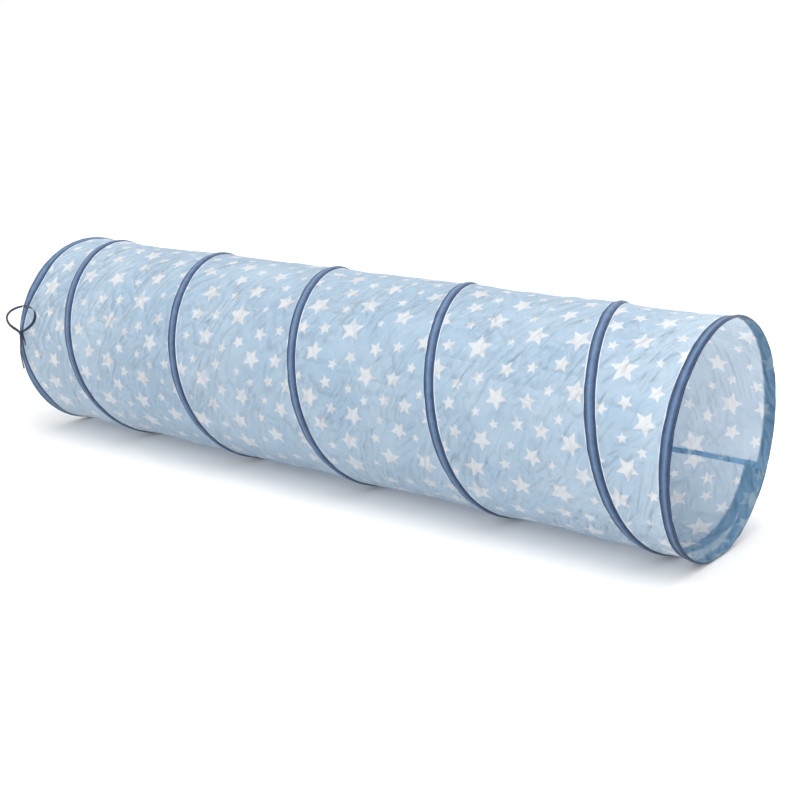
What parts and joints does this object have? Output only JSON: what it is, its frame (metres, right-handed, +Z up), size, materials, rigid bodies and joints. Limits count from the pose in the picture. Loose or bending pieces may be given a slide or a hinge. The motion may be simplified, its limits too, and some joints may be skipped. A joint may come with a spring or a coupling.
{
  "type": "agility tunnel",
  "caption": "Pop-up agility tunnel: a star-print cloth sleeve held open by a hoop at each end and a spring-wire coil sewn in tape, with a ribbon tie.",
  "frame": {"origin": "on the floor under the middle of the tunnel, at the centre of its footprint", "axes": "+X along the tunnel from the near hoop to the far hoop, +Y towards the back, +Z up"},
  "size_m": [1.8278, 0.4937, 0.4779],
  "materials": {
    "sleeve_cloth": "thin crisp taffeta with a near-white star print",
    "casing_tape": "plain woven tape with stitched edges",
    "tie_ribbon": "narrow navy ribbon with a soft sheen",
    "spring_wire": "drawn spring wire",
    "ferrule": "crimped sleeve, satin",
    "wire_cap": "soft moulded vinyl"
  },
  "bodies": {
    "near_hoop": {"near_hoop_wire": "spring_wire", "near_hoop_ferrule": "ferrule", "near_hoop_casing": "casing_tape", "coil_wire_turn_1": "spring_wire", "coil_casing_turn_1": "casing_tape", "coil_cap_near": "wire_cap", "sleeve_bay_1": "sleeve_cloth", "tie_knot": "tie_ribbon", "tie_strand_long": "tie_ribbon", "tie_strand_short": "tie_ribbon"},
    "turn_2": {"coil_wire_turn_2": "spring_wire", "coil_casing_turn_2": "casing_tape", "sleeve_bay_2": "sleeve_cloth"},
    "turn_3": {"coil_wire_turn_3": "spring_wire", "coil_casing_turn_3": "casing_tape", "sleeve_bay_3": "sleeve_cloth"},
    "turn_4": {"coil_wire_turn_4": "spring_wire", "coil_casing_turn_4": "casing_tape", "sleeve_bay_4": "sleeve_cloth"},
    "turn_5": {"coil_wire_turn_5": "spring_wire", "coil_casing_turn_5": "casing_tape", "sleeve_bay_5": "sleeve_cloth"},
    "far_hoop": {"far_hoop_wire": "spring_wire", "far_hoop_ferrule": "ferrule", "far_hoop_casing": "casing_tape", "coil_cap_far": "wire_cap"}
  },
  "joints": [
    {"name": "far_hoop_slide", "type": "slide", "parent": "near_hoop", "child": "far_hoop", "axis": [1, 0, 0], "range_m": [-1.719, 0], "stiffness_N_per_m": 15, "springref_m": 0.1, "deforming": ["coil_wire_turn_1", "coil_casing_turn_1", "sleeve_bay_1", "coil_wire_turn_2", "coil_casing_turn_2", "sleeve_bay_2", "coil_wire_turn_3", "coil_casing_turn_3", "sleeve_bay_3", "coil_wire_turn_4", "coil_casing_turn_4", "sleeve_bay_4", "coil_wire_turn_5", "coil_casing_turn_5", "sleeve_bay_5"]},
    {"name": "turn_2_slide", "type": "slide", "parent": "near_hoop", "child": "turn_2", "axis": [1, 0, 0], "range_m": [-0.3131, 0], "deforming": ["coil_wire_turn_1", "coil_casing_turn_1", "sleeve_bay_1", "coil_wire_turn_2", "coil_casing_turn_2", "sleeve_bay_2", "coil_wire_turn_3", "coil_casing_turn_3", "sleeve_bay_3", "coil_wire_turn_4", "coil_casing_turn_4", "sleeve_bay_4", "coil_wire_turn_5", "coil_casing_turn_5", "sleeve_bay_5"]},
    {"name": "turn_3_slide", "type": "slide", "parent": "near_hoop", "child": "turn_3", "axis": [1, 0, 0], "range_m": [-0.6738, 0], "deforming": ["coil_wire_turn_1", "coil_casing_turn_1", "sleeve_bay_1", "coil_wire_turn_2", "coil_casing_turn_2", "sleeve_bay_2", "coil_wire_turn_3", "coil_casing_turn_3", "sleeve_bay_3", "coil_wire_turn_4", "coil_casing_turn_4", "sleeve_bay_4", "coil_wire_turn_5", "coil_casing_turn_5", "sleeve_bay_5"]},
    {"name": "turn_4_slide", "type": "slide", "parent": "near_hoop", "child": "turn_4", "axis": [1, 0, 0], "range_m": [-1.0345, 0], "deforming": ["coil_wire_turn_1", "coil_casing_turn_1", "sleeve_bay_1", "coil_wire_turn_2", "coil_casing_turn_2", "sleeve_bay_2", "coil_wire_turn_3", "coil_casing_turn_3", "sleeve_bay_3", "coil_wire_turn_4", "coil_casing_turn_4", "sleeve_bay_4", "coil_wire_turn_5", "coil_casing_turn_5", "sleeve_bay_5"]},
    {"name": "turn_5_slide", "type": "slide", "parent": "near_hoop", "child": "turn_5", "axis": [1, 0, 0], "range_m": [-1.3952, 0], "deforming": ["coil_wire_turn_1", "coil_casing_turn_1", "sleeve_bay_1", "coil_wire_turn_2", "coil_casing_turn_2", "sleeve_bay_2", "coil_wire_turn_3", "coil_casing_turn_3", "sleeve_bay_3", "coil_wire_turn_4", "coil_casing_turn_4", "sleeve_bay_4", "coil_wire_turn_5", "coil_casing_turn_5", "sleeve_bay_5"]}
  ],
  "couplings": [
    {"joint": "turn_2_slide", "follows": "far_hoop_slide", "ratio": 0.18153},
    {"joint": "turn_3_slide", "follows": "far_hoop_slide", "ratio": 0.39136},
    {"joint": "turn_4_slide", "follows": "far_hoop_slide", "ratio": 0.60121},
    {"joint": "turn_5_slide", "follows": "far_hoop_slide", "ratio": 0.81105}
  ]
}
